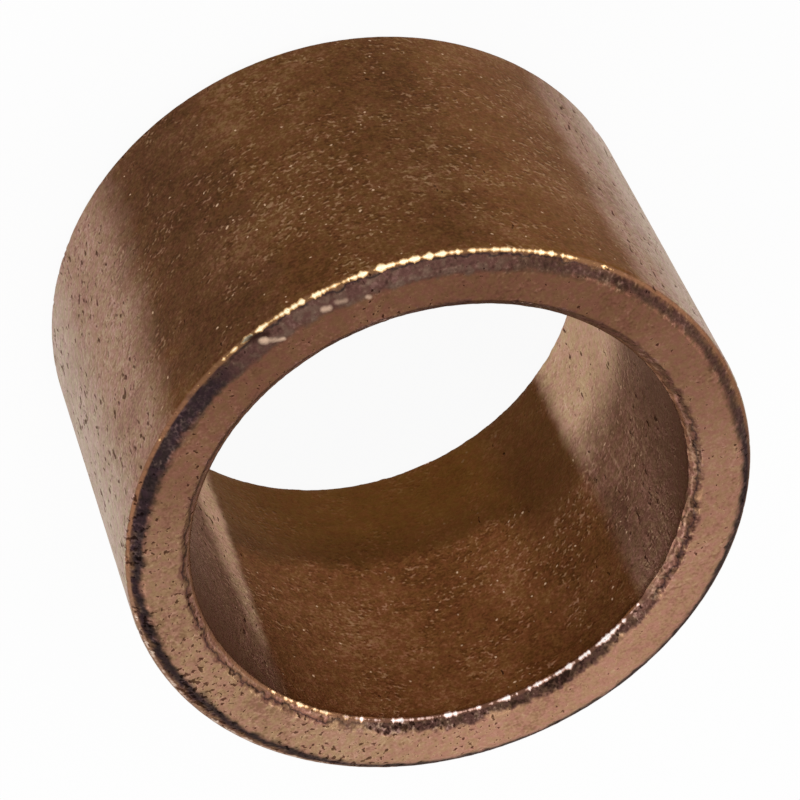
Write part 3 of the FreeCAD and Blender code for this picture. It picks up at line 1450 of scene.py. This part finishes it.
@dataclass
class Bronze:
    """Oily pressed bronze with its zones of wear and its painted light and shade, as one material.

    A noise is given by its scale, detail and roughness.
    """

    section: Section
    pores: Pores
    bore: BoreWear = BoreWear()
    side: SideWear = SideWear()
    end: EndWear = EndWear()
    corners: CornerWearAndHighlights = CornerWearAndHighlights()
    painted_glints: PaintedGlints = PaintedGlints()
    bare: Triple = (0.700, 0.490, 0.350)
    # The painted shade in the nick's hollow
    nick_shade: Triple = (0.030, 0.013, 0.010)
    untinted: Triple = (1.0, 1.0, 1.0)
    # Painted shade in the pits, and a painted highlight on their rims
    pit_shade_tint: Triple = (0.340, 0.280, 0.265)
    pit_rim_highlight_tint: Triple = (1.160, 1.180, 1.200)
    pink: Triple = (1.04, 0.945, 0.98)
    yellow: Triple = (1.00, 1.045, 0.90)
    edge_tint: Triple = (0.78, 0.68, 0.62)
    scuffs: tuple[Scuff, ...] = (
        # The nick's hollow in painted shade, then the bare scuffs
        Scuff(-70.6, 7.94, -74.6, 7.76, 0.110, 0.22, 0.14, Mark.PAINTED_SHADE, 0.95),
        Scuff(-73.1, 7.72, -73.7, 7.66, 0.075, 0.11, 0.08, Mark.BARE, 0.95),
        Scuff(-73.8, 7.66, -76.6, 7.48, 0.058, 0.08, 0.0, Mark.BARE, 0.90),
        Scuff(-85.4, 7.59, -86.3, 7.56, 0.075, 0.03, 0.0, Mark.BARE, 0.65),
        Scuff(-88.4, 7.60, -89.6, 7.56, 0.070, 0.03, 0.01, Mark.BARE, 0.35),
        Scuff(-93.5, 7.43, -93.9, 7.40, 0.065, 0.0, 0.0, Mark.BARE, 0.65),
    )
    wander_noise: Triple = (1.3, 3.0, 0.6)
    ragged_noise: Triple = (4.0, 2.0, 0.5)
    fine_noise: Triple = (12.0, 1.5, 0.6)
    cloud_noise: Triple = (0.45, 2.0, 0.6)
    hue_noise: Triple = (4.0, 2.0, 0.6)
    crowd_noise: Triple = (0.8, 2.0, 0.5)
    crowd_steps: Steps = (0.46, 0.62, 0.15, 1.0)
    belt_rises: tuple[Span, Span] = ((2.5, 4.2), (8.0, 5.5))
    belt_gain: float = 0.06
    wander_reach: float = 0.9
    slice_reach: float = 0.10
    rim_wander: float = 0.25
    rim_ragged: float = 0.26
    grain_share: float = 0.50
    fine_share: float = 0.62
    cloud_share: float = 0.60
    painted_relief_share: float = 0.27
    hue_span: Span = (0.38, 0.62)
    scuff_roughness: float = 0.50
    pit_roughness: float = 0.65
    swell_share: float = 0.6
    bump_strength: float = 0.5
    bump_depth: float = 0.03

    def build(self) -> bpy.types.Material:
        """Makes the material.

        Returns:
            The bronze.
        """
        made = bpy.data.materials.new("pressed_bronze")
        graph = fresh_graph(made)
        rest = graph.node("ShaderNodeAttribute", attribute_name=REST_PLACE).outputs["Vector"]
        place = graph.scaled(rest, 1 / MM)
        wander = graph.noise(place, *self.wander_noise)
        ragged = graph.noise(place, *self.ragged_noise)
        rough_rim = graph.plus(graph.swing(wander, self.rim_wander), graph.swing(ragged, self.rim_ragged))
        zones = Zones(graph, place, self.section, graph.swing(wander, self.wander_reach), rough_rim)
        bend = graph.swing(wander, self.slice_reach)
        # Painted light and shade on the lumps, strongest where they crowd together
        painted_relief = graph.times(self.pores.painted_relief(graph, place), self.crowd(zones))
        tone = self.tone(zones, painted_relief)
        look = self.bore.rough.look(graph, tone)
        layers = self.bore.layers(zones, bend) + self.side.layers(zones, bend)
        for finish, mask in layers + self.end.layers(zones, bend, ragged):
            look = graph.cover(mask, look, *finish.look(graph, tone))
        hue = graph.ease(graph.noise(place, *self.hue_noise), *self.hue_span)
        look = (graph.product(look[0], graph.mix(hue, self.pink, self.yellow)), look[1])
        # Worn corners, and painted highlight beads along them
        beads = self.corners.noise(zones)
        look = self.corners.dress(zones, beads, look)
        look = self.painted_glints.dress(zones, painted_relief, look)
        for scuff in self.scuffs:
            colour = self.nick_shade if scuff.mark is Mark.PAINTED_SHADE else self.bare
            look = graph.cover(scuff.mask(zones, ragged), look, colour, self.scuff_roughness)
        # Pits darkened with painted shade, their rims lit with a painted highlight
        field = self.pores.field(zones)
        pits = graph.ease(field, *self.pores.pit_span)
        rims = graph.ease(field, *self.pores.pit_rim_highlight_span)
        tint = graph.mix(pits, graph.mix(rims, self.untinted, self.pit_rim_highlight_tint), self.pit_shade_tint)
        swell = graph.times(beads, zones.corners, self.swell_share)
        height = graph.less(graph.plus(tone, swell), pits)
        grain = {"Height": height, "Strength": self.bump_strength, "Distance": self.bump_depth * MM}
        inputs = {
            "Base Color": graph.product(look[0], tint),
            "Metallic": 1.0,
            "Roughness": graph.blend(pits, look[1], self.pit_roughness),
            "Specular Tint": opaque(self.edge_tint),
            "Normal": graph.node("ShaderNodeBump", grain).outputs[0],
        }
        shader = graph.node("ShaderNodeBsdfPrincipled", inputs)
        graph.node("ShaderNodeOutputMaterial", {"Surface": shader.outputs[0]})
        return made

    def crowd(self, zones: Zones) -> Socket:
        """Where the larger lumps stand close together: in clusters, and half way up the walls.

        Args:
            zones: The skin's zones.

        Returns:
            The mask.
        """
        graph = zones.graph
        belt = graph.times(*(graph.ease(zones.height, *rise) for rise in self.belt_rises))
        cluster = graph.noise(zones.place, *self.crowd_noise)
        return graph.ease(graph.plus(cluster, graph.times(belt, self.belt_gain)), *self.crowd_steps)

    def tone(self, zones: Zones, painted_relief: Socket) -> Socket:
        """The height of the grain, with the painted light and shade on the lumps, which picks between a
        finish's three colours.

        Args:
            zones: The skin's zones.
            painted_relief: The painted light and shade on the sides of the larger lumps.

        Returns:
            A number around one half.
        """
        graph = zones.graph
        parts = (
            graph.swing(self.pores.grain(graph, zones.place), self.grain_share),
            graph.swing(graph.noise(zones.place, *self.fine_noise), self.fine_share),
            graph.swing(graph.noise(zones.place, *self.cloud_noise), self.cloud_share),
            graph.times(painted_relief, self.painted_relief_share),
        )
        return graph.plus(HALF, *parts)


# The studio
@dataclass(frozen=True)
class Lamp:
    """A square soft lamp that points at the bushing, in millimetres and watts."""

    name: str
    place: Triple
    size: float
    power: float
    colour: Triple = (1.0, 1.0, 1.0)

    def build(self, aim: Vector) -> None:
        """Sets the lamp up.

        Args:
            aim: Where it points, in metres.
        """
        data = bpy.data.lights.new(self.name, "AREA")
        data.size = self.size * MM
        data.energy = self.power
        data.color = self.colour
        made = place_object(self.name, data)
        made.location = Vector(self.place) * MM
        made.rotation_mode = "QUATERNION"
        made.rotation_quaternion = (aim - made.location).to_track_quat("-Z", "Y")


@dataclass
class Studio:
    """The white floor and surround, the lamps and the camera.

    The floor's size and the camera's clip distances are in metres.
    """

    floor_size: float = 2.0
    lit_share: float = 0.06
    floor_white: Triple = (0.8, 0.8, 0.8)
    plain_white: Triple = (1.0, 1.0, 1.0)
    own_light: float = 1.0
    surround_light: float = 0.8
    lens: float = 173.505
    distance: float = 99.086
    elevation: float = 51.495
    roll: float = -156.578
    aim: Triple = (-0.200, -0.018, 5.25)
    clip: Span = (0.001, 10.0)
    lamps: tuple[Lamp, ...] = (
        Lamp("flash", (-25.0, -70.0, 95.0), 10.0, 0.008, (1.0, 0.95, 0.92)),
        Lamp("left_softbox", (180.0, 20.0, 120.0), 120.0, 0.10),
        Lamp("right_softbox", (-180.0, 20.0, 120.0), 120.0, 0.10),
    )

    def floor(self) -> None:
        """The white floor, which keeps a faint shadow."""
        half = self.floor_size / 2
        corners = [(-half, -half, 0), (half, -half, 0), (half, half, 0), (-half, half, 0)]
        mesh = bpy.data.meshes.new("floor")
        mesh.from_pydata(corners, [], [tuple(range(len(corners)))])
        mesh.materials.append(self.white())
        place_object("floor", mesh)

    def seen(self, graph: Graph) -> Socket:
        """Tells the rays that show the surround: from the camera, from metal and through glass.

        Args:
            graph: The tree.

        Returns:
            1 for those rays, and 0 for the others.
        """
        path = graph.node("ShaderNodeLightPath").outputs
        return graph.most(path["Is Camera Ray"], path["Is Glossy Ray"], path["Is Transmission Ray"])

    def white(self) -> bpy.types.Material:
        """The floor's white, mostly its own so that it stays white in shade.

        Returns:
            The material.
        """
        made = bpy.data.materials.new("white_floor")
        graph = fresh_graph(made)
        lit = graph.node("ShaderNodeBsdfDiffuse", {"Color": opaque(self.floor_white)})
        glow = {"Color": opaque(self.plain_white), "Strength": self.own_light}
        own = graph.node("ShaderNodeEmission", glow)
        share = graph.times(self.seen(graph), 1 - self.lit_share)
        mixed = graph.node("ShaderNodeMixShader", {0: share, 1: lit.outputs[0], 2: own.outputs[0]})
        graph.node("ShaderNodeOutputMaterial", {"Surface": mixed.outputs[0]})
        return made

    def surround(self) -> None:
        """A white world that is plain to the camera and in the metal, and softer as a light."""
        world = bpy.data.worlds.new("surround")
        graph = fresh_graph(world)
        strength = graph.most(self.seen(graph), self.surround_light)
        glow = {"Color": opaque(self.plain_white), "Strength": strength}
        light = graph.node("ShaderNodeBackground", glow)
        graph.node("ShaderNodeOutputWorld", {"Surface": light.outputs[0]})
        bpy.context.scene.world = world

    def camera(self) -> None:
        """The camera at the photograph's viewing angle: from above, and rolled nearly upside down."""
        data = bpy.data.cameras.new("camera")
        data.lens = self.lens
        data.clip_start, data.clip_end = self.clip
        lift = math.radians(self.elevation)
        look = Vector((0.0, math.cos(lift), -math.sin(lift)))
        level = look.cross(Vector((0, 0, 1))).normalized()
        upright = level.cross(look)
        turn = math.radians(self.roll)
        up = upright * math.cos(turn) + level * math.sin(turn)
        right = look.cross(up)
        matrix = Matrix((right, up, -look)).transposed().to_4x4()
        matrix.translation = (Vector(self.aim) - look * self.distance) * MM
        made = place_object("camera", data)
        made.matrix_world = matrix
        bpy.context.scene.camera = made

    def build(self) -> None:
        """Sets the whole studio up."""
        self.floor()
        self.surround()
        for lamp in self.lamps:
            lamp.build(Vector(self.aim) * MM)
        self.camera()
        bpy.context.scene.view_settings.view_transform = "Standard"


def report(piece: bpy.types.Object) -> None:
    """Logs one piece's size.

    Args:
        piece: The piece.
    """
    mesh = piece.data
    mesh.calc_loop_triangles()
    low = [min(v.co[i] for v in mesh.vertices) / MM for i in range(3)]
    high = [max(v.co[i] for v in mesh.vertices) / MM for i in range(3)]
    sizes = " x ".join("%.3f" % (b - a) for a, b in zip(low, high))
    log.info("%s: %d triangles, %s mm", piece.name, len(mesh.loop_triangles), sizes)


def write_size() -> None:
    """Brings the scene's view layer up to date."""
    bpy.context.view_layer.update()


def main() -> None:
    """Builds the bushing and its studio."""
    logging.basicConfig(level=logging.INFO, format="%(name)s: %(message)s")
    low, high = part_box(NODE)
    mounts = {mount["name"]: mount for mount in frame["record"]["mounts"]}
    section = Section(
        bore=mounts["bore"]["dims"]["r_mm"],
        side=mounts["outside"]["dims"]["r_mm"],
        top=(high.z - low.z) / MM,
    )
    pores = Pores()
    bronze = Bronze(section, pores).build()
    report(Sleeve(section, Nick(), pores).build(bronze))
    Studio().build()
    write_size()


if __name__ == "__main__":
    main()
